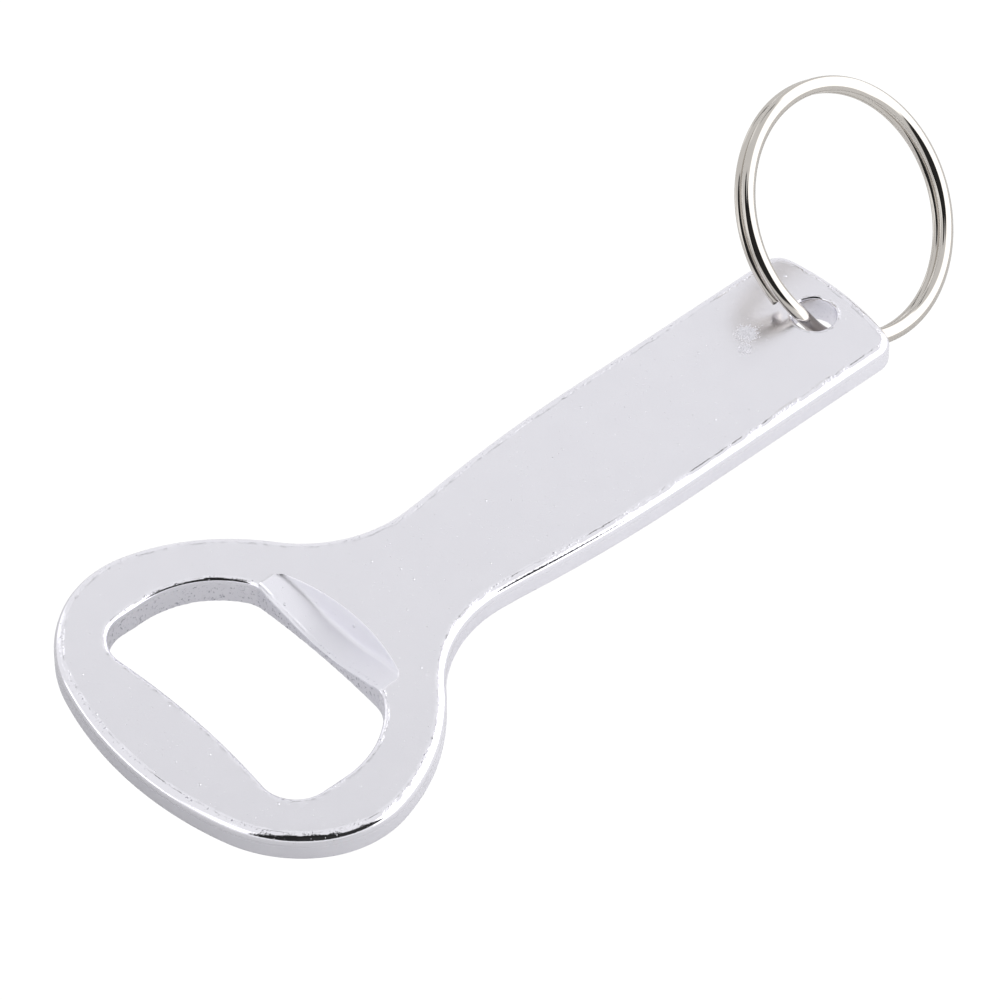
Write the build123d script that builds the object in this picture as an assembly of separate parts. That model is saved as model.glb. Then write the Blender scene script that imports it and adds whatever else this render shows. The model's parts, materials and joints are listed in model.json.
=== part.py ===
"""Keychain bottle opener: a one-piece cast aluminium plate and the split ring hooked through its key hole.

Millimetres. +X runs along the handle towards the ring, +Z is up, out of the face with the cap recess.
The origin lies on the floor of the recess, where the skirt of a bottle cap bears, on the centre line.
"""
from build123d import *
from math import cos, radians, sin
import os

# ---- opener plate ----
PLATE_THICKNESS = 2.9
LIP_THICKNESS = 1.0                      # what the recess leaves of the plate at the gripping edge
HEAD_TIP_X = -22.85
HANDLE_END_X = 62.35
TOP_EDGE_RADIUS = 0.8
BACK_EDGE_RADIUS = 0.6

# Half of the outer outline, from the head's tip to the straight stretch of the handle.
# Each arc is (radius, turn in degrees), and a turn to the right, which is outward bulging, is negative.
HEAD_ARCS = [(34.7, -18.0), (13.15, -40.3), (10.2, -46.3), (20.0, -22.8), (23.2, -14.8)]
NECK_ARCS = [(12.6, 56.4), (84.0, 2.4), (156.0, -6.6)]
END_CORNER_RADIUS = 2.1
END_BOW_ANGLE = 12.9                     # half of the angle that the bowed end edge spans

# ---- cap window, through the head ----
GRIP_EDGE_X = -0.87
GRIP_EDGE_ARC = (100.0, 4.4)             # the gripping edge is slightly hollow, to fit round a cap
GRIP_CORNER_ARC = (3.0, 28.6)
WINDOW_SHOULDER_RADIUS = 9.75
WINDOW_SIDE_LENGTH = 2.5
WINDOW_CORNER_RADIUS = 3.5
TIP_EDGE_BOW_ANGLE = 7.0                 # half of the angle that the window's tip-side edge spans
WINDOW_RIM_RADIUS = 0.35
WINDOW_BACK_RIM_RADIUS = 0.2

# ---- recess in the upper face, behind the gripping edge ----
# Its floor is level in the middle and rises gently to both sides; a steeper wall closes it at the back.
RECESS_HALF_WIDTH = 8.3
RECESS_LAND_HALF_WIDTH = 2.2
RECESS_LAND_RADIUS = 5.0
RECESS_BACK_HALF_WIDTH = 8.6
RECESS_SHOULDER_X = 1.1
RECESS_BACK_X = 2.9
RECESS_CORNER_RADIUS = 1.8
RECESS_OPEN_X = -5.0                     # the cutter starts here, inside the window
RECESS_DRAFT = 28.0                      # degrees, of the back wall
RECESS_FLOOR_RADIUS = 0.5

# ---- key hole, drilled a little off the centre line ----
KEY_HOLE_X = 58.2
KEY_HOLE_Y = -0.38
KEY_HOLE_RADIUS = 2.05
KEY_HOLE_RIM_RADIUS = 0.2

# ---- split ring: two turns of flattened wire ----
RING_WIRE_WIDTH = 1.5                    # across the wire, in the ring's plane
RING_WIRE_HEIGHT = 0.95                  # along the ring's axis
RING_WIRE_EDGE_RADIUS = 0.42
RING_OUTER_DIAMETER = 25.26
RING_TURN_GAP = 0.04
RING_CENTRE = (67.53, 5.51, 4.37)
RING_AXIS_AZIMUTH = -76.7                # degrees, of the ring's axis, which points up and to the side
RING_AXIS_ELEVATION = 41.9
# Angles round the ring count from the horizontal line of its plane that points away from the plate.
RING_STEP_ANGLE = 208.0                  # middle of the step, where the wire passes through the key hole
RING_STEP_SPAN = 24.0                    # the wire steps from the upper turn to the lower one over this
RING_END_GAP_UPPER = 22.0                # from the middle of the step back to the lower turn's cut end
RING_END_GAP_LOWER = 20.0                # from the middle of the step on to the upper turn's cut end
RING_STEP_SECTIONS = 7

# ---- worked out ----
BACK_Z = -LIP_THICKNESS
TOP_Z = BACK_Z + PLATE_THICKNESS
RING_RADIUS = (RING_OUTER_DIAMETER - RING_WIRE_WIDTH) / 2
TURN_PITCH = RING_WIRE_HEIGHT + RING_TURN_GAP

PLAN_TOLERANCE = 0.01                    # how far outside a cutter's box one of its rim edges may lie
HEIGHT_TOLERANCE = 0.001


def arc_chain(start, direction, arcs):
    """Tangent arcs, one after the other. Returns them, the end point and the end direction."""
    edges = []
    for radius, turn in arcs:
        arc = JernArc(start, direction, radius, turn)
        edges.append(arc)
        start = arc @ 1
        direction = arc % 1
    return edges, start, direction


def closed_face(half_outline):
    """A face bounded by a half outline and its mirror image across the centre line."""
    mirrored = [edge.mirror(Plane.XZ) for edge in half_outline]
    return make_face(Wire(half_outline + mirrored))


def plate_outline():
    edges, start, _ = arc_chain((HEAD_TIP_X, 0), (0, 1), HEAD_ARCS + NECK_ARCS)
    corner_turn = 90 - END_BOW_ANGLE
    half_width = start.Y
    corner_height = END_CORNER_RADIUS * (1 - cos(radians(corner_turn)))
    end_bow_radius = (half_width - corner_height) / sin(radians(END_BOW_ANGLE))
    end_bow_depth = end_bow_radius * (1 - cos(radians(END_BOW_ANGLE)))
    corner_x = HANDLE_END_X - end_bow_depth - END_CORNER_RADIUS * sin(radians(corner_turn))
    straight = Line((start.X, half_width), (corner_x, half_width))
    end_arcs = [(END_CORNER_RADIUS, -corner_turn), (end_bow_radius, -END_BOW_ANGLE)]
    end_edges, _, _ = arc_chain(straight @ 1, (1, 0), end_arcs)
    return closed_face(edges + [straight] + end_edges)


def window_outline():
    shoulder_turn = 90 - GRIP_EDGE_ARC[1] - GRIP_CORNER_ARC[1]
    grip_arcs = [GRIP_EDGE_ARC, GRIP_CORNER_ARC, (WINDOW_SHOULDER_RADIUS, shoulder_turn)]
    edges, start, _ = arc_chain((GRIP_EDGE_X, 0), (0, 1), grip_arcs)
    side = Line((start.X, start.Y), (start.X - WINDOW_SIDE_LENGTH, start.Y))
    corner_turn = 90 + TIP_EDGE_BOW_ANGLE
    corner, corner_end, direction = arc_chain(side @ 1, (-1, 0), [(WINDOW_CORNER_RADIUS, corner_turn)])
    tip_edge_radius = corner_end.Y / sin(radians(TIP_EDGE_BOW_ANGLE))
    tip_edge, _, _ = arc_chain(corner_end, direction, [(tip_edge_radius, -TIP_EDGE_BOW_ANGLE)])
    return closed_face(edges + [side] + corner + tip_edge)


def recess_cutter():
    """The hollow above the lip: a trough across the plate, closed at the back by a drafted wall."""
    trough = make_face(Polyline(
        (-RECESS_HALF_WIDTH, TOP_Z),
        (-RECESS_LAND_HALF_WIDTH, 0),
        (RECESS_LAND_HALF_WIDTH, 0),
        (RECESS_HALF_WIDTH, TOP_Z),
        close=True,
    ))
    land_corners = trough.vertices().group_by(Axis.Y)[0]
    trough = Plane.YZ.offset(RECESS_OPEN_X) * fillet(land_corners, RECESS_LAND_RADIUS)
    cutter = extrude(trough, amount=2 * RECESS_BACK_X - RECESS_OPEN_X) & drafted_plan()
    foot = [edge for edge in cutter.edges() if is_foot(edge)]
    return fillet(foot, RECESS_FLOOR_RADIUS)


def drafted_plan():
    """The plan of the recess, narrowing downwards by the back wall's draft."""
    back_edge = ThreePointArc(
        (RECESS_SHOULDER_X, RECESS_BACK_HALF_WIDTH),
        (RECESS_BACK_X, 0),
        (RECESS_SHOULDER_X, -RECESS_BACK_HALF_WIDTH),
    )
    front = Polyline(
        (RECESS_SHOULDER_X, -RECESS_BACK_HALF_WIDTH),
        (RECESS_OPEN_X, -RECESS_BACK_HALF_WIDTH),
        (RECESS_OPEN_X, RECESS_BACK_HALF_WIDTH),
        (RECESS_SHOULDER_X, RECESS_BACK_HALF_WIDTH),
    )
    plan = make_face(Wire(back_edge.edges() + front.edges()))
    back_corners = plan.vertices().group_by(Axis.X)[-1]
    plan = fillet(back_corners, RECESS_CORNER_RADIUS)
    return extrude(Pos(0, 0, TOP_Z) * plan, amount=-TOP_Z, taper=RECESS_DRAFT)


def is_foot(edge):
    """Whether a cutter's edge runs across the recess, where its back wall meets its floor."""
    across = abs((edge @ 0).Y - (edge @ 1).Y) > PLAN_TOLERANCE
    low = (edge @ 0.5).Z < TOP_Z - HEIGHT_TOLERANCE
    return across and low and (edge @ 0.5).X > 0


def opener_plate():
    blank = extrude(Pos(0, 0, BACK_Z) * plate_outline(), amount=PLATE_THICKNESS)
    blank = fillet(blank.edges().group_by(Axis.Z)[-1], TOP_EDGE_RADIUS)
    blank = fillet(blank.edges().group_by(Axis.Z)[0], BACK_EDGE_RADIUS)

    window = extrude(Pos(0, 0, BACK_Z) * window_outline(), amount=PLATE_THICKNESS)
    middle_z = (BACK_Z + TOP_Z) / 2
    key_hole = Pos(KEY_HOLE_X, KEY_HOLE_Y, middle_z) * Cylinder(KEY_HOLE_RADIUS, PLATE_THICKNESS)
    plate = blank - window - key_hole
    for cutter, top_radius, back_radius in (
        (window, WINDOW_RIM_RADIUS, WINDOW_BACK_RIM_RADIUS),
        (key_hole, KEY_HOLE_RIM_RADIUS, KEY_HOLE_RIM_RADIUS),
    ):
        for height, radius in ((TOP_Z, top_radius), (BACK_Z, back_radius)):
            plate = fillet(rim_edges(plate, cutter, height), radius)
    return plate - recess_cutter()


def rim_edges(plate, cutter, height):
    """The plate's edges at one height that lie inside the cutter's bounding box."""
    box = cutter.bounding_box()
    found = []
    for edge in plate.edges():
        middle = edge @ 0.5
        start = edge @ 0
        along = box.min.X - PLAN_TOLERANCE < middle.X < box.max.X + PLAN_TOLERANCE
        across = box.min.Y - PLAN_TOLERANCE < middle.Y < box.max.Y + PLAN_TOLERANCE
        level = max(abs(middle.Z - height), abs(start.Z - height)) < HEIGHT_TOLERANCE
        if along and across and level:
            found.append(edge)
    return found


def ring_plane():
    """The ring's own plane: X is its horizontal line, Z is its axis."""
    azimuth = radians(RING_AXIS_AZIMUTH)
    elevation = radians(RING_AXIS_ELEVATION)
    axis = (cos(elevation) * cos(azimuth), cos(elevation) * sin(azimuth), sin(elevation))
    horizontal = (-sin(azimuth), cos(azimuth), 0)
    return Plane(origin=RING_CENTRE, x_dir=horizontal, z_dir=axis)


def wire_section(angle, height):
    """The wire's cross-section at an angle round the ring, in the ring's own frame."""
    outward = Vector(cos(radians(angle)), sin(radians(angle)), 0)
    forward = Vector(-sin(radians(angle)), cos(radians(angle)), 0)
    centre = outward * RING_RADIUS + Vector(0, 0, height)
    section = RectangleRounded(RING_WIRE_WIDTH, RING_WIRE_HEIGHT, RING_WIRE_EDGE_RADIUS)
    return Plane(origin=centre, x_dir=outward, z_dir=forward) * section


def wire_turn(start_angle, sweep_angle, height):
    return revolve(wire_section(start_angle, height), Axis.Z, sweep_angle)


def wire_step(start_angle):
    """The short stretch where the wire leaves the upper turn for the lower one."""
    sections = []
    for index in range(RING_STEP_SECTIONS):
        share = index / (RING_STEP_SECTIONS - 1)
        fall = TURN_PITCH * share * share * (3 - 2 * share)
        sections.append(wire_section(start_angle + RING_STEP_SPAN * share, TURN_PITCH / 2 - fall))
    return loft(sections)


def split_ring():
    step_start = RING_STEP_ANGLE - RING_STEP_SPAN / 2
    step_end = RING_STEP_ANGLE + RING_STEP_SPAN / 2
    upper_start = RING_STEP_ANGLE + RING_END_GAP_LOWER
    upper_turn = wire_turn(upper_start, step_start + 360 - upper_start, TURN_PITCH / 2)
    lower_turn = wire_turn(step_end, RING_STEP_ANGLE - RING_END_GAP_UPPER + 360 - step_end, -TURN_PITCH / 2)
    return ring_plane() * (upper_turn + wire_step(step_start) + lower_turn)


def main():
    os.makedirs("parts", exist_ok=True)
    for name, shape in (("opener_plate", opener_plate()), ("split_ring", split_ring())):
        export_step(shape, f"parts/{name}.step")


main()
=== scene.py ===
"""Looks of the keychain bottle opener: the cast plate and the split ring as finished meshes, their metals,
a plain studio and the camera.

The meshes are worked out in millimetres, in the frame of the CAD model, and scaled to metres when made.
"""

import json
import math

import bpy
import numpy as np
from mathutils import Matrix, Vector, noise
from mathutils.geometry import delaunay_2d_cdt


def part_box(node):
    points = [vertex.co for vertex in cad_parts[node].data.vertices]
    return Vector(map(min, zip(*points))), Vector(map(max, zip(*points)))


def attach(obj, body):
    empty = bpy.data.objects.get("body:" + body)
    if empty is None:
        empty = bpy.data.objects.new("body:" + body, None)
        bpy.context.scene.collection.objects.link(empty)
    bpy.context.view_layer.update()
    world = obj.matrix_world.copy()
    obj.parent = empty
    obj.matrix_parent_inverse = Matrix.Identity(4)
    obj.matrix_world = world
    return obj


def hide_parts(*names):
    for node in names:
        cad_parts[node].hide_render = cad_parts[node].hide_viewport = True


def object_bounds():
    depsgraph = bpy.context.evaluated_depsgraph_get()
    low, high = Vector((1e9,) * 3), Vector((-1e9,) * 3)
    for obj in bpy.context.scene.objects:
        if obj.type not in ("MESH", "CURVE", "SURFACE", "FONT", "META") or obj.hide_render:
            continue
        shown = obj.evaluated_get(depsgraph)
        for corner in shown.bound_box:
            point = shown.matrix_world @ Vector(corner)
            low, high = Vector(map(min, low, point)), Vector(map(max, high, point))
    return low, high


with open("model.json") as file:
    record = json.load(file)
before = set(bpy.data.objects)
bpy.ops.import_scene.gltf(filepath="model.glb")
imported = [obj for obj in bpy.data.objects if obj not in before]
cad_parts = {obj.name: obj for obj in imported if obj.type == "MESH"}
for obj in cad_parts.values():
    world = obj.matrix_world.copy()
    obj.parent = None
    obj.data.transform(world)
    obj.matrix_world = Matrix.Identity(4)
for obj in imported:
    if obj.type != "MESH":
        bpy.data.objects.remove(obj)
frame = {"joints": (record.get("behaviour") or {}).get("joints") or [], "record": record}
cad_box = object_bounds()

MM = 0.001
PLATE_LOW, PLATE_HIGH = (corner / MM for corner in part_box("opener_plate"))
MOUNTS = {mount["name"]: mount for mount in frame["record"]["mounts"]}
SWIVEL = frame["joints"][0]

# ---- opener plate, mm and degrees ----
BACK_Z = PLATE_LOW.z
TOP_Z = PLATE_HIGH.z
# Half outlines, as strokes: (radius, turn) is an arc, left turns positive, and (length, 0) is straight.
HEAD_STROKES = [(34.7, -18.0), (13.15, -40.3), (10.2, -46.3), (20.0, -22.8), (23.2, -14.8)]
NECK_STROKES = [(12.6, 56.4), (84.0, 2.4), (156.0, -6.6)]
END_CORNER_RADIUS = 2.1
END_BOW_ANGLE = 12.9
GRIP_EDGE_X = -0.87
WINDOW_STROKES = [(100.0, 4.4), (3.0, 28.6), (9.75, 57.0), (2.5, 0.0), (3.5, 97.0)]
TIP_EDGE_BOW_ANGLE = 7.0
RECESS_HALF_WIDTH = 8.3
RECESS_LAND_HALF_WIDTH = 2.2
RECESS_LAND_RADIUS = 12.0
RECESS_BACK_HALF_WIDTH = 8.6
RECESS_BACK_X = 2.9
RECESS_BACK_RADIUS = 21.44
RECESS_CORNER_RADIUS = 1.8
RECESS_OPEN_LENGTH = 6.0
RECESS_DRAFT = 28.0
RECESS_FOOT_BLEND = 0.4
KEY_HOLE_RADIUS = 2.05
TOP_EDGE_RADIUS = 0.8
BACK_EDGE_RADIUS = 0.6
WINDOW_RIM_RADIUS = 0.35
WINDOW_BACK_RIM_RADIUS = 0.2
KEY_HOLE_RIM_RADIUS = 0.2

# ---- split ring ----
RING_RADIUS = 11.88
WIRE_WIDTH = 1.5
WIRE_HEIGHT = 0.95
WIRE_POINTS = 40
TURN_PITCH = 0.99
RING_STEP_ANGLE = 208.0
RING_STEP_SPAN = 24.0
UPPER_TURN_START = 228.0
LOWER_TURN_END = 546.0

# ---- mesh spacing ----
RIM_SPACING = 0.14
INNER_RIM_SPACING = RIM_SPACING * 0.7
# Rows of the flat face before each rounding, as distances from it.
FLAT_LEAD = (0.2, 0.08)
TOP_STEPS = 9
BACK_STEPS = 6
WALL_SHARES = (0.2, 0.4, 0.6, 0.8)
FACE_SPACING = 0.9
EXTRA_CLEARANCE = FACE_SPACING * 0.45
# How far the faces' own points stay from the plate's, the window's and the key hole's edge rows.
FACE_MARGINS = (0.35, 0.1, 0.2)
MERGE_DISTANCE = 1e-6
RING_STEP = 1.0
CHUNK = 1000
RECESS_SPACING = 0.16
RECESS_DEPTH_SPACING = 0.1
RECESS_EDGE_DEPTH = 0.05
RECESS_WALL_STEPS = (-0.25, -0.07, 0.0, 0.07, 0.2, 0.4, 0.6, 0.75, 0.87, 0.97, 1.07, 1.17, 1.3, 1.6)
RECESS_SIDE_STEPS = (-0.5, -0.25, -0.08, 0.0, 0.08, 0.25)

# ---- burrs: how far the edges are uneven, in mm, how fine, and how pitted the inner walls are ----
# The burr weights also place the painted dark reflection streaks along the rims.
RIM_BURR_ROWS = (0.0, 0.6, 1.0, 0.8, 0.35)
RIM_BURR = 0.02
WINDOW_BURR = 0.09
HOLE_BURR = 0.04
BURR_LIFT_SHARE = 0.5
BURR_FREQUENCY = 2.6
BURR_OFFSET = Vector((7.3, 1.9, 4.1))
# The pitting also darkens the walls' pits in colour: painted shade.
WINDOW_PITTING = 1.0
HOLE_PITTING = 0.25

# ---- cast aluminium: textures per mm, edges of a texture's share, bump heights in mm ----
MOTTLE_SCALE = 0.35
GRAIN_SCALE = 5.0
NICK_SCALE = 3.2
CHIP_SCALE = 4.2
PATCH_SCALE = 0.5
SPECK_SCALE = 0.42
MOTTLE_EDGES = (0.3, 0.7)
PATCH_EDGES = (0.35, 0.6)
HOLLOW_EDGES = (0.56, 0.66)
DARK_REFLECTION_EDGES = (0.60, 0.68)
SPECK_EDGES = (0.03, 0.07)
GRAIN_HEIGHT = 0.0006
RIM_NICK_HEIGHT = 0.008
CHIP_HEIGHT = 0.09
PIT_HEIGHT = 0.03
SPECK_HEIGHT = 0.05
CASTING_COLORS = ((0.905, 0.897, 0.955), (0.925, 0.917, 0.975))
# Colour of the recess: painted shade.
RECESS_SHADE_COLOR = (0.87, 0.865, 0.925)
# Colour of the walls' pits: painted shade.
PIT_SHADE_COLOR = (0.50, 0.50, 0.56)
# Colour of the dark streaks along the burred rims: a painted dark reflection.
RIM_DARK_REFLECTION_COLOR = (0.30, 0.29, 0.36)
FLAT_ROUGHNESS = (0.20, 0.26)
RIM_ROUGHNESS = 0.08
SIDE_ROUGHNESS = 0.36
RECESS_ROUGHNESS = 0.46
# The scuff by the key hole: (centre, full within, gone beyond), in mm.
SCUFFS = [((51.9, 1.9, TOP_Z), 0.2, 1.7), ((50.5, 0.6, TOP_Z), 0.1, 1.1)]
SCUFF_BREAKUP = 2.5
SCUFF_EDGES = (0.4, 0.75)
SCUFF_HEIGHT = 0.4
SCUFF_ROUGHNESS = 0.5

# ---- nickel plate ----
NICKEL_COLORS = ((0.58, 0.55, 0.515), (0.64, 0.61, 0.575))
NICKEL_ROUGHNESS = (0.035, 0.09)
WEAR_SCALE = 0.8
WEAR_EDGES = (0.4, 0.75)
LINES_ALONG = 0.25
LINES_AROUND = 14.0
LINE_HEIGHT = 0.0003

# ---- studio: strengths of light, and the floor in metres (its glow's X in mm) ----
WALL_LIGHT = 0.86
# (azimuth of the middle, half width, lowest and highest elevation, strength, soft border), in degrees
STUDIO_ZONES = [
    (0.0, 181.0, 64.0, 95.0, 0.86, 3.0),
    (-28.0, 48.0, -14.0, 50.0, 1.9, 3.0),
    (178.0, 15.0, 14.0, 52.0, 1.3, 3.0),
    (90.0, 7.0, -10.0, 38.0, 1.15, 3.0),
    (142.0, 21.0, -22.0, 14.0, 1.5, 3.0),
    (46.0, 24.0, 53.5, 58.5, 0.12, 1.0),
    (-130.0, 37.0, 16.0, 80.0, 0.02, 2.0),
    (-100.0, 36.0, 18.0, 60.0, 0.03, 2.0),
]
BACKDROP_LIGHT = 1.05
FLOOR_SIZE = 4.0
FLOOR_GAP = 0.00002
FLOOR_ALBEDO = 0.74
FLOOR_GLOW = 0.26
FLOOR_GLOW_X = (-25.0, 15.0)

# ---- camera, m and mm of lens ----
CAMERA_TARGET = Vector((0.023329, 0.003548, -0.001))
CAMERA_BACK = Vector((-0.45117, -0.50417, 0.73638))
CAMERA_RIGHT = Vector((0.74519, -0.66685, 0.0))
CAMERA_DISTANCE = 0.6762
CAMERA_LENS = 272.16
CAMERA_SENSOR = 36
CAMERA_CLIP = (0.01, 20)


# ---------------------------------------------------------------- plan outlines
def trace(x, y, heading, strokes, spacing):
    """Follows the strokes. Returns rows of x, y, and the unit vector to the left of the path."""
    points = [(x, y, -math.sin(heading), math.cos(heading))]
    for size, turn in strokes:
        if turn:
            length = size * math.radians(abs(turn))
            side = math.copysign(1.0, turn)
        else:
            length = size
            side = 0.0
        count = max(1, math.ceil(length / spacing))
        for index in range(1, count + 1):
            share = index / count
            if turn:
                angle = heading + math.radians(turn) * share
                px = x + side * size * (math.sin(angle) - math.sin(heading))
                py = y - side * size * (math.cos(angle) - math.cos(heading))
            else:
                angle = heading
                px = x + size * share * math.cos(heading)
                py = y + size * share * math.sin(heading)
            points.append((px, py, -math.sin(angle), math.cos(angle)))
        x, y = points[-1][:2]
        heading = angle
    return np.array(points)


def with_mirror(half):
    """The half outline, and its mirror image across the centre line travelled back, as one closed loop."""
    back = half[-2:0:-1] * np.array([1, -1, 1, -1])
    return np.vstack([half, back])


def plate_loop():
    body = trace(PLATE_LOW.x, 0, math.pi / 2, HEAD_STROKES + NECK_STROKES, RIM_SPACING)
    x, half_width = body[-1, :2]
    corner_turn = 90 - END_BOW_ANGLE
    corner_height = END_CORNER_RADIUS * (1 - math.cos(math.radians(corner_turn)))
    bow_radius = (half_width - corner_height) / math.sin(math.radians(END_BOW_ANGLE))
    bow_depth = bow_radius * (1 - math.cos(math.radians(END_BOW_ANGLE)))
    corner_x = PLATE_HIGH.x - bow_depth - END_CORNER_RADIUS * math.sin(math.radians(corner_turn))
    end = [(corner_x - x, 0.0), (END_CORNER_RADIUS, -corner_turn), (bow_radius, -END_BOW_ANGLE)]
    half = np.vstack([body, trace(x, half_width, 0.0, end, RIM_SPACING)[1:]])
    return with_mirror(half)


def window_loop():
    half = trace(GRIP_EDGE_X, 0, math.pi / 2, WINDOW_STROKES, INNER_RIM_SPACING)
    tip_radius = half[-1, 1] / math.sin(math.radians(TIP_EDGE_BOW_ANGLE))
    x, y = half[-1, :2]
    heading = math.pi / 2 + math.radians(sum(turn for _, turn in WINDOW_STROKES))
    tip = trace(x, y, heading, [(tip_radius, -TIP_EDGE_BOW_ANGLE)], RIM_SPACING)
    return with_mirror(np.vstack([half, tip[1:]]))


def key_hole_loop():
    x, y = (value / MM for value in SWIVEL["pos_m"][:2])
    return trace(x, y - KEY_HOLE_RADIUS, 0.0, [(KEY_HOLE_RADIUS, 360.0)], INNER_RIM_SPACING)[:-1]


def recess_loop(spacing):
    """The top edge of the recess's back wall. It closes inside the window."""
    rise = (RECESS_BACK_HALF_WIDTH - RECESS_CORNER_RADIUS) / (RECESS_BACK_RADIUS - RECESS_CORNER_RADIUS)
    back_turn = math.degrees(math.asin(rise))
    strokes = [
        (RECESS_BACK_RADIUS, back_turn),
        (RECESS_CORNER_RADIUS, 90 - back_turn),
        (RECESS_OPEN_LENGTH, 0.0),
    ]
    return with_mirror(trace(RECESS_BACK_X, 0, math.pi / 2, strokes, spacing))


# ---------------------------------------------------------------- distances
def distance_to(loop, points):
    """The distance of each point from a closed loop."""
    start = loop[:, :2]
    along = np.roll(start, -1, axis=0) - start
    length_squared = (along ** 2).sum(1)
    nearest = np.empty(len(points))
    for first in range(0, len(points), CHUNK):
        chunk = points[first:first + CHUNK, None, :2] - start[None]
        share = np.clip((chunk * along).sum(2) / length_squared, 0, 1)
        gap = chunk - share[..., None] * along
        nearest[first:first + CHUNK] = np.sqrt((gap ** 2).sum(2).min(1))
    return nearest


def inside(loop, points):
    """Whether each point is inside a closed loop."""
    found = np.zeros(len(points), bool)
    ends = np.roll(loop, -1, axis=0)
    for (x0, y0), (x1, y1) in zip(loop[:, :2], ends[:, :2]):
        if y0 == y1:
            continue
        crosses = (points[:, 1] < y0) != (points[:, 1] < y1)
        found ^= crosses & (points[:, 0] < x0 + (points[:, 1] - y0) * (x1 - x0) / (y1 - y0))
    return found


def trough_height(across):
    """The height of the recess's floor at each distance from the centre line: level, arc, then slope."""
    slope = math.atan(TOP_Z / (RECESS_HALF_WIDTH - RECESS_LAND_HALF_WIDTH))
    arc_start = RECESS_LAND_HALF_WIDTH - RECESS_LAND_RADIUS * math.tan(slope / 2)
    along = np.clip(across - arc_start, 0, RECESS_LAND_RADIUS * math.sin(slope))
    arc = RECESS_LAND_RADIUS - np.sqrt(RECESS_LAND_RADIUS ** 2 - along ** 2)
    beyond = np.clip(across - arc_start - RECESS_LAND_RADIUS * math.sin(slope), 0, None)
    return arc + beyond * math.tan(slope)


def recess_depth(points):
    """How far the recess goes below the top face at each point of the plan."""
    loop = recess_loop(RECESS_DEPTH_SPACING)
    inward = distance_to(loop, points) * np.where(inside(loop, points), 1, -1)
    wall = TOP_Z - inward / math.tan(math.radians(RECESS_DRAFT))
    floor = trough_height(np.abs(points[:, 1]))
    # The wall runs into the floor over a small rounding.
    closeness = np.clip(1 - np.abs(wall - floor) / RECESS_FOOT_BLEND, 0, 1)
    height = np.maximum(wall, floor) + closeness ** 2 * RECESS_FOOT_BLEND / 4
    return np.clip(TOP_Z - height, 0, TOP_Z)


# ---------------------------------------------------------------- plate mesh
def rounded_rows(radius, count):
    """(inset, fall) pairs from where the flat ends to the side of the plate."""
    rows = []
    for index in range(count + 1):
        angle = math.pi / 2 * index / count
        rows.append((radius * (1 - math.sin(angle)), radius * (1 - math.cos(angle))))
    return rows


def edge_band(loop, top_radius, back_radius, back_burr=0.0, pitting=0.0, has_recess=False):
    """Rows of points from the top face over the edge to the back face, with each row's material weights."""
    top = [(top_radius + step, 0.0) for step in FLAT_LEAD]
    top += rounded_rows(top_radius, TOP_STEPS)
    back = rounded_rows(back_radius, BACK_STEPS)[::-1]
    back += [(back_radius + step, 0.0) for step in FLAT_LEAD[::-1]]
    rows, weights = [], []
    for index, (inset, fall) in enumerate(top):
        burr = RIM_BURR_ROWS[index] if index < len(RIM_BURR_ROWS) else 0.0
        plan = loop[:, :2] - loop[:, 2:] * inset
        height = np.full(len(plan), TOP_Z - fall)
        if has_recess:
            height = np.minimum(height, TOP_Z - recess_depth(plan))
        rows.append(burred(np.column_stack([plan, height]), loop, RIM_BURR * burr))
        polish = 0.0 if index < len(FLAT_LEAD) else 1.0
        weights.append({"rim": polish, "burr": burr, "side": 0.0, "pits": 0.0})
    low = BACK_Z + back_radius
    for share in WALL_SHARES:
        height = rows[len(top) - 1][:, 2] * (1 - share) + low * share
        rows.append(np.column_stack([loop[:, :2], height]))
        weights.append({"rim": 0.0, "burr": 0.0, "side": 1.0, "pits": pitting})
    for index, (inset, fall) in enumerate(back):
        plan = loop[:, :2] - loop[:, 2:] * inset
        row = np.column_stack([plan, np.full(len(plan), BACK_Z + fall)])
        edge = math.sin(math.pi * min(1.0, index / BACK_STEPS))
        rows.append(burred(row, loop, back_burr * edge))
        under = 1.0 - index / (len(back) - 1)
        weights.append({"rim": edge, "burr": edge, "side": under, "pits": pitting * under})
    return rows, weights


def burred(row, loop, size):
    """The row with a fine uneven burr: each point moves a little into the metal, and up or down."""
    if not size:
        return row
    moved = row.copy()
    for index, (x, y, z) in enumerate(row):
        place = Vector((x, y, z)) * BURR_FREQUENCY
        inward = abs(noise.noise(place)) * size
        moved[index, :2] -= loop[index, 2:] * inward
        moved[index, 2] += noise.noise(place + BURR_OFFSET) * size * BURR_LIFT_SHARE
    moved[:, 2] = np.clip(moved[:, 2], BACK_Z, TOP_Z)
    return moved


def face_points(loops, rims, extra):
    """Scattered points for the inside of a face, clear of the loops that bound it."""
    xs = np.arange(PLATE_LOW.x, PLATE_HIGH.x, FACE_SPACING)
    ys = np.arange(PLATE_LOW.y, PLATE_HIGH.y, FACE_SPACING * math.sqrt(3) / 2)
    grid = [(x + FACE_SPACING / 2 * (row % 2), y) for row, y in enumerate(ys) for x in xs]
    points = np.array(grid)
    if len(extra):
        points = points[distance_to_points(extra, points) > EXTRA_CLEARANCE]
        points = np.vstack([points, extra])
    keep = inside(loops[0], points)
    for loop in loops[1:]:
        keep &= ~inside(loop, points)
    for loop, rim in zip(loops, rims):
        keep &= distance_to(loop, points) > rim
    return points[keep]


def distance_to_points(cloud, points):
    """The distance of each point from the nearest point of a cloud."""
    nearest = np.empty(len(points))
    for first in range(0, len(points), CHUNK):
        gap = points[first:first + CHUNK, None] - cloud[None]
        nearest[first:first + CHUNK] = np.sqrt((gap ** 2).sum(2).min(1))
    return nearest


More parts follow.
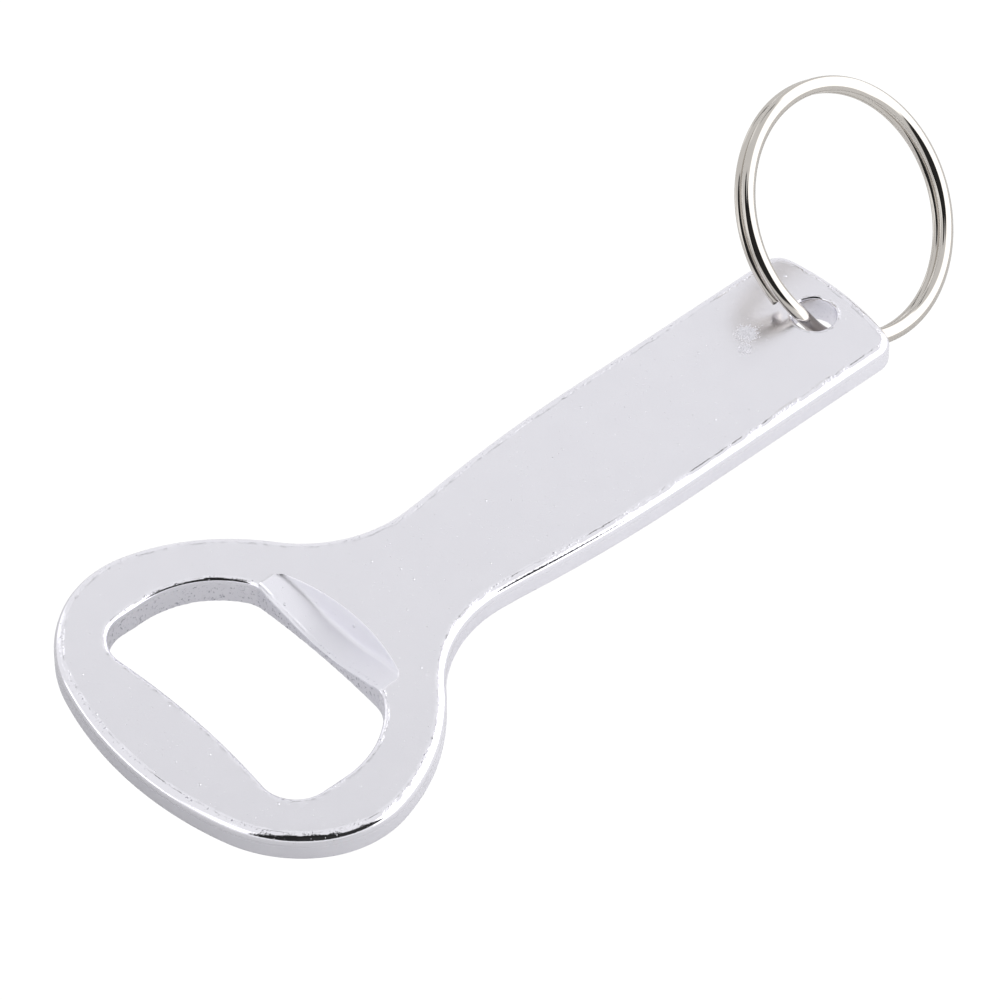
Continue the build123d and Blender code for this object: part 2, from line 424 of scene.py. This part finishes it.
def fill(loops, scattered):
    """Triangles between the loops and the scattered points, which count after the loops' points."""
    plan = [Vector(point[:2]) for loop in loops for point in loop]
    plan += [Vector(point) for point in scattered]
    edges = []
    first = 0
    for loop in loops:
        count = len(loop)
        edges += [(first + index, first + (index + 1) % count) for index in range(count)]
        first += count
    found, _, triangles, sources, _, _ = delaunay_2d_cdt(plan, edges, [], 0, MERGE_DISTANCE)
    assert len(found) == len(plan)
    source = [ids[0] for ids in sources]
    centres = np.array([sum((found[i] for i in tri), Vector((0, 0))) / 3 for tri in triangles])
    keep = inside(loops[0], centres)
    for loop in loops[1:]:
        keep &= ~inside(loop, centres)
    return [[source[i] for i in tri] for tri, kept in zip(triangles, keep) if kept]


def recess_points():
    """Points along the recess's back wall, the roundings at its foot, and the edges of its sloping sides."""
    loop = recess_loop(RECESS_SPACING)
    rows = [loop[:, :2] + loop[:, 2:] * step for step in RECESS_WALL_STEPS]
    xs = np.arange(GRIP_EDGE_X - 1, RECESS_BACK_X - RECESS_CORNER_RADIUS, RECESS_SPACING)
    for step in RECESS_SIDE_STEPS:
        for side in (-1, 1):
            ys = np.full(len(xs), side * (RECESS_HALF_WIDTH + step))
            rows.append(np.column_stack([xs, ys]))
    return np.vstack(rows)


def plate_bands():
    """The edge bands of the plate's outline, the window and the key hole."""
    window_sizes = (WINDOW_RIM_RADIUS, WINDOW_BACK_RIM_RADIUS, WINDOW_BURR, WINDOW_PITTING)
    key_hole_sizes = (KEY_HOLE_RIM_RADIUS, KEY_HOLE_RIM_RADIUS, HOLE_BURR, HOLE_PITTING)
    return [
        edge_band(plate_loop(), TOP_EDGE_RADIUS, BACK_EDGE_RADIUS),
        edge_band(window_loop(), *window_sizes, has_recess=True),
        edge_band(key_hole_loop(), *key_hole_sizes),
    ]


def plate_mesh():
    """The plate: its edge bands, and the top and back faces between them."""
    bands = plate_bands()
    vertices, faces, row_starts = [], [], []
    weights = {kind: [] for kind in ("rim", "burr", "side", "pits")}
    for rows, row_weights in bands:
        count = len(rows[0])
        starts = []
        for row, values in zip(rows, row_weights):
            starts.append(len(vertices))
            vertices.extend(row.tolist())
            for kind, value in values.items():
                weights[kind] += [value] * count
        for upper, lower in zip(starts, starts[1:]):
            for index in range(count):
                after = (index + 1) % count
                faces.append((upper + index, upper + after, lower + after, lower + index))
        row_starts.append(starts)
    for side, extra in ((0, recess_points()), (-1, np.empty((0, 2)))):
        loops = [rows[side] for rows, _ in bands]
        scattered = face_points(loops, FACE_MARGINS, extra)
        triangles = fill(loops, scattered)
        ids = []
        for starts, loop in zip(row_starts, loops):
            ids += range(starts[side], starts[side] + len(loop))
        ids += range(len(vertices), len(vertices) + len(scattered))
        if side == 0:
            height = TOP_Z - recess_depth(scattered)
        else:
            height = np.full(len(scattered), BACK_Z)
        vertices.extend(np.column_stack([scattered, height]).tolist())
        for kind in weights:
            weights[kind] += [0.0] * len(scattered)
        for a, b, c in triangles:
            faces.append((ids[a], ids[b], ids[c]) if side == 0 else (ids[a], ids[c], ids[b]))
    places = np.array(vertices)
    sunk = recess_depth(places[:, :2]) > RECESS_EDGE_DEPTH
    upper = places[:, 2] > BACK_Z + WINDOW_BACK_RIM_RADIUS
    weights["recess"] = (sunk & upper).astype(float).tolist()
    return vertices, faces, weights


def make_piece(name, vertices, faces, weights):
    """An object in the scene from a mesh in millimetres, with its weights as mesh attributes."""
    mesh = bpy.data.meshes.new(name)
    mesh.from_pydata([Vector(v) * MM for v in vertices], [], faces)
    mesh.validate()
    mesh.shade_smooth()
    for kind, values in weights.items():
        attribute = mesh.attributes.new(kind, "FLOAT", "POINT")
        attribute.data.foreach_set("value", values)
    piece = bpy.data.objects.new(name, mesh)
    bpy.context.scene.collection.objects.link(piece)
    return piece


# ---------------------------------------------------------------- ring mesh
def wire_outline():
    """The flattened wire's section, an ellipse: (outward, along the axis)."""
    section = []
    for index in range(WIRE_POINTS):
        angle = 2 * math.pi * index / WIRE_POINTS
        section.append((math.cos(angle) * WIRE_WIDTH / 2, math.sin(angle) * WIRE_HEIGHT / 2))
    return section


def ring_mesh():
    """The wire swept through its two turns, with the step between them and both cut ends."""
    axis = Vector(MOUNTS["key_loop"]["axis"]).normalized()
    centre = Vector(MOUNTS["key_loop"]["pos_m"]) / MM
    level = Vector((-axis.y, axis.x, 0)).normalized()
    rise = axis.cross(level)
    outline = wire_outline()
    step_start = RING_STEP_ANGLE - RING_STEP_SPAN / 2 + 360
    vertices, faces = [], []
    weights = {"along": [], "round": []}
    angles = np.arange(UPPER_TURN_START, LOWER_TURN_END + 360 + RING_STEP / 2, RING_STEP)
    for angle in angles:
        share = min(max((angle - step_start) / RING_STEP_SPAN, 0), 1)
        height = TURN_PITCH * (0.5 - share * share * (3 - 2 * share))
        turn = math.radians(angle)
        out = level * math.cos(turn) + rise * math.sin(turn)
        for index, (outward, upward) in enumerate(outline):
            vertices.append(centre + out * (RING_RADIUS + outward) + axis * (height + upward))
            weights["along"].append(turn * RING_RADIUS)
            weights["round"].append(abs(index / len(outline) - 0.5) * 2)
    count = len(outline)
    for row in range(len(angles) - 1):
        this = row * count
        following = this + count
        for index in range(count):
            after = (index + 1) % count
            faces.append((following + index, following + after, this + after, this + index))
    faces.append(tuple(range(count)))
    faces.append(tuple(range(len(vertices) - count, len(vertices)))[::-1])
    return vertices, faces, weights


# ---------------------------------------------------------------- materials
def add_node(tree, kind, inputs, **settings):
    """A node with its settings made, and its inputs linked to sockets or set to values."""
    made = tree.nodes.new(kind)
    for name, value in settings.items():
        setattr(made, name, value)
    for key, value in inputs.items():
        if isinstance(value, bpy.types.NodeSocket):
            tree.links.new(value, made.inputs[key])
        else:
            made.inputs[key].default_value = value
    return made


def math_node(tree, operation, *values):
    """A math node's result, from sockets or values."""
    return add_node(tree, "ShaderNodeMath", dict(enumerate(values)), operation=operation).outputs[0]


def blend_values(tree, share, low, high):
    return add_node(tree, "ShaderNodeMix", {0: share, 2: low, 3: high}, data_type="FLOAT").outputs[0]


def blend_colors(tree, share, low, high):
    inputs = {0: share, 6: (*low, 1) if isinstance(low, tuple) else low,
              7: (*high, 1) if isinstance(high, tuple) else high}
    return add_node(tree, "ShaderNodeMix", inputs, data_type="RGBA").outputs[2]


def ramp(tree, value, low, high):
    """0 below low, 1 above high, smooth between them."""
    inputs = {"Value": value, "From Min": low, "From Max": high}
    return add_node(tree, "ShaderNodeMapRange", inputs, interpolation_type="SMOOTHSTEP").outputs[0]


def attribute(tree, name):
    return add_node(tree, "ShaderNodeAttribute", {}, attribute_name=name).outputs["Fac"]


def noise_value(tree, place, scale, detail=2.0, roughness=0.5):
    inputs = {"Vector": place, "Scale": scale, "Detail": detail, "Roughness": roughness}
    return add_node(tree, "ShaderNodeTexNoise", inputs).outputs["Fac"]


def in_millimetres(tree):
    place = add_node(tree, "ShaderNodeTexCoord", {}).outputs["Object"]
    return add_node(tree, "ShaderNodeVectorMath", {0: place, "Scale": 1 / MM}, operation="SCALE").outputs[0]


def metal(name):
    material = bpy.data.materials.new(name)
    material.use_nodes = True
    tree = material.node_tree
    shader = tree.nodes["Principled BSDF"]
    shader.inputs["Metallic"].default_value = 1.0
    return material, tree, shader


def near(tree, place, centre, inner, outer):
    """1 within the inner distance of a point, falling to 0 at the outer distance."""
    inputs = {0: place, 1: centre}
    distance = add_node(tree, "ShaderNodeVectorMath", inputs, operation="DISTANCE").outputs["Value"]
    return math_node(tree, "SUBTRACT", 1.0, ramp(tree, distance, inner, outer))


def product(tree, first, *others):
    for other in others:
        first = math_node(tree, "MULTIPLY", first, other)
    return first


def total(tree, first, *others):
    for other in others:
        first = math_node(tree, "ADD", first, other)
    return first


def cast_aluminium():
    """Satin tumbled casting: faint mottling and specks, polished nicked rims, rough pitted walls, and the
    scuffed patch where the ring rubs. Painted shade darkens the walls' pits and the recess, and a painted
    dark reflection runs in streaks along the burred rims."""
    material, tree, shader = metal("cast_aluminium")
    place = in_millimetres(tree)
    kinds = ("rim", "burr", "side", "pits", "recess")
    rim, burr, side, pits, recess = (attribute(tree, kind) for kind in kinds)
    mottle = noise_value(tree, place, MOTTLE_SCALE, 4.0)
    grain = noise_value(tree, place, GRAIN_SCALE, 3.0)
    nicks = noise_value(tree, place, NICK_SCALE, 3.0, 0.65)
    chip_and_dark_reflection_noise = noise_value(tree, place, CHIP_SCALE, 2.0, 0.6)
    patches = ramp(tree, noise_value(tree, place, PATCH_SCALE, 1.0), *PATCH_EDGES)
    scuff = math_node(tree, "MAXIMUM", *[near(tree, place, *patch) for patch in SCUFFS])
    # The scuff breaks up into specks towards its border.
    breakup = product(tree, math_node(tree, "SUBTRACT", chip_and_dark_reflection_noise, 0.5), SCUFF_BREAKUP)
    scuff = ramp(tree, total(tree, scuff, breakup), *SCUFF_EDGES)
    cells = add_node(tree, "ShaderNodeTexVoronoi", {"Vector": place, "Scale": SPECK_SCALE})
    specks = math_node(tree, "SUBTRACT", 1.0, ramp(tree, cells.outputs["Distance"], *SPECK_EDGES))
    flat = math_node(tree, "SUBTRACT", 1.0, math_node(tree, "MAXIMUM", rim, side))
    specks = product(tree, specks, flat)

    color = blend_colors(tree, ramp(tree, mottle, *MOTTLE_EDGES), *CASTING_COLORS)
    # The recess is coloured darker: painted shade in the recess.
    color = blend_colors(tree, recess, color, RECESS_SHADE_COLOR)
    # The pits of the window's and key hole's walls are darkened: painted shade in the hollows.
    painted_pit_shade = product(tree, pits, ramp(tree, nicks, *HOLLOW_EDGES))
    color = blend_colors(tree, painted_pit_shade, color, PIT_SHADE_COLOR)
    # Dark streaks painted along the burred rims: a painted reflection of the studio's dark gaps.
    painted_dark_rim_reflection = product(tree, burr, patches, ramp(tree, chip_and_dark_reflection_noise, *DARK_REFLECTION_EDGES))
    color = blend_colors(tree, painted_dark_rim_reflection, color, RIM_DARK_REFLECTION_COLOR)
    tree.links.new(color, shader.inputs["Base Color"])

    rough = blend_values(tree, mottle, *FLAT_ROUGHNESS)
    rough = blend_values(tree, rim, rough, RIM_ROUGHNESS)
    rough = blend_values(tree, side, rough, SIDE_ROUGHNESS)
    rough = blend_values(tree, recess, rough, RECESS_ROUGHNESS)
    rough = blend_values(tree, scuff, rough, SCUFF_ROUGHNESS)
    tree.links.new(rough, shader.inputs["Roughness"])

    height = total(
        tree,
        product(tree, grain, GRAIN_HEIGHT),
        product(tree, nicks, rim, RIM_NICK_HEIGHT),
        product(tree, chip_and_dark_reflection_noise, burr, patches, CHIP_HEIGHT),
        product(tree, nicks, pits, PIT_HEIGHT),
        product(tree, math_node(tree, "SUBTRACT", nicks, 0.5), scuff, SCUFF_HEIGHT),
        product(tree, specks, SPECK_HEIGHT),
    )
    bump = add_node(tree, "ShaderNodeBump", {"Height": height, "Strength": 1.0, "Distance": MM})
    tree.links.new(bump.outputs["Normal"], shader.inputs["Normal"])
    return material


def nickel_plate():
    """Bright nickel over drawn wire: fine lines along the wire, and light wear where it rubs."""
    material, tree, shader = metal("nickel_plate")
    place = in_millimetres(tree)
    along = math_node(tree, "MULTIPLY", attribute(tree, "along"), LINES_ALONG)
    around = math_node(tree, "MULTIPLY", attribute(tree, "round"), LINES_AROUND)
    drawn = add_node(tree, "ShaderNodeCombineXYZ", {"X": along, "Y": around}).outputs[0]
    lines = noise_value(tree, drawn, 1.0)
    wear = noise_value(tree, place, WEAR_SCALE, 3.0)
    color = blend_colors(tree, wear, *NICKEL_COLORS)
    tree.links.new(color, shader.inputs["Base Color"])
    rough = blend_values(tree, ramp(tree, wear, *WEAR_EDGES), *NICKEL_ROUGHNESS)
    tree.links.new(rough, shader.inputs["Roughness"])
    height = math_node(tree, "MULTIPLY", lines, LINE_HEIGHT)
    bump = add_node(tree, "ShaderNodeBump", {"Height": height, "Strength": 1.0, "Distance": MM})
    tree.links.new(bump.outputs["Normal"], shader.inputs["Normal"])
    return material


# ---------------------------------------------------------------- studio and camera
def add_camera():
    """The camera, looking at its target from CAMERA_BACK, level with the floor across the picture."""
    camera = bpy.data.cameras.new("camera")
    camera.lens = CAMERA_LENS
    camera.sensor_width = CAMERA_SENSOR
    camera.clip_start, camera.clip_end = CAMERA_CLIP
    holder = bpy.data.objects.new("camera", camera)
    bpy.context.scene.collection.objects.link(holder)
    back = CAMERA_BACK.normalized()
    right = CAMERA_RIGHT.normalized()
    up = back.cross(right)
    rotation = Matrix((right, up, back)).transposed()
    holder.matrix_world = Matrix.Translation(CAMERA_TARGET + back * CAMERA_DISTANCE) @ rotation.to_4x4()
    bpy.context.scene.camera = holder


def window_of(tree, value, low, high, soft):
    """1 where the value lies between low and high, with soft borders."""
    rises = ramp(tree, value, low - soft, low + soft)
    falls = ramp(tree, value, high - soft, high + soft)
    return math_node(tree, "SUBTRACT", rises, falls)


def bearing(tree, parts, azimuth):
    """How many degrees a direction lies to the left of an azimuth, from -180 to 180."""
    turn = math.radians(azimuth)
    terms = []
    for x_share, y_share in ((-math.sin(turn), math.cos(turn)), (math.cos(turn), math.sin(turn))):
        x_term = math_node(tree, "MULTIPLY", parts["X"], x_share)
        terms.append(math_node(tree, "MULTIPLY_ADD", parts["Y"], y_share, x_term))
    return math_node(tree, "DEGREES", math_node(tree, "ARCTAN2", *terms))


def add_studio():
    """Pale walls with soft boxes, and the dark gaps between them."""
    world = bpy.data.worlds.new("studio")
    bpy.context.scene.world = world
    world.use_nodes = True
    tree = world.node_tree
    direction = add_node(tree, "ShaderNodeTexCoord", {}).outputs["Generated"]
    parts = add_node(tree, "ShaderNodeSeparateXYZ", {"Vector": direction}).outputs
    elevation = math_node(tree, "DEGREES", math_node(tree, "ARCSINE", parts["Z"]))
    light = WALL_LIGHT
    for azimuth, half_width, low, high, strength, border in STUDIO_ZONES:
        across = window_of(tree, bearing(tree, parts, azimuth), -half_width, half_width, border)
        upward = window_of(tree, elevation, low, high, border)
        light = blend_values(tree, math_node(tree, "MULTIPLY", across, upward), light, strength)
    seen = add_node(tree, "ShaderNodeLightPath", {}).outputs["Is Camera Ray"]
    shown = blend_values(tree, seen, light, BACKDROP_LIGHT)
    tree.links.new(shown, tree.nodes["Background"].inputs["Color"])


def add_floor():
    """A pale matt floor, which the camera sees as white as the backdrop. In reflections and bounces it glows
    more towards +X: painted light on the floor.
    """
    half = FLOOR_SIZE / 2
    z = cad_box[0].z - FLOOR_GAP
    mesh = bpy.data.meshes.new("floor")
    corners = [(-half, -half, z), (half, -half, z), (half, half, z), (-half, half, z)]
    mesh.from_pydata(corners, [], [(0, 1, 2, 3)])
    floor = bpy.data.objects.new("floor", mesh)
    bpy.context.scene.collection.objects.link(floor)
    material = bpy.data.materials.new("pale_floor")
    material.use_nodes = True
    tree = material.node_tree
    matt = tree.nodes["Principled BSDF"]
    matt.inputs["Base Color"].default_value = (*[FLOOR_ALBEDO] * 3, 1)
    matt.inputs["Roughness"].default_value = 1.0
    matt.inputs["Specular IOR Level"].default_value = 0.0
    matt.inputs["Emission Color"].default_value = (1, 1, 1, 1)
    parts = add_node(tree, "ShaderNodeSeparateXYZ", {"Vector": in_millimetres(tree)}).outputs
    # The glow rises towards +X: painted light on the floor, seen only in reflections and bounces.
    glow = product(tree, ramp(tree, parts["X"], *FLOOR_GLOW_X), FLOOR_GLOW)
    tree.links.new(glow, matt.inputs["Emission Strength"])
    white = add_node(tree, "ShaderNodeEmission", {"Strength": BACKDROP_LIGHT})
    seen = add_node(tree, "ShaderNodeLightPath", {}).outputs["Is Camera Ray"]
    mixed = add_node(tree, "ShaderNodeMixShader", {0: seen, 1: matt.outputs[0], 2: white.outputs[0]})
    tree.links.new(mixed.outputs[0], tree.nodes["Material Output"].inputs["Surface"])
    mesh.materials.append(material)


plate = make_piece("cast_plate", *plate_mesh())
plate.data.materials.append(cast_aluminium())
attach(plate, "opener")
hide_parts("opener_plate")

ring = make_piece("wire_ring", *ring_mesh())
ring.data.materials.append(nickel_plate())
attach(ring, "ring")
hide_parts("split_ring")

add_studio()
add_floor()
bpy.context.scene.view_settings.view_transform = "Standard"
add_camera()
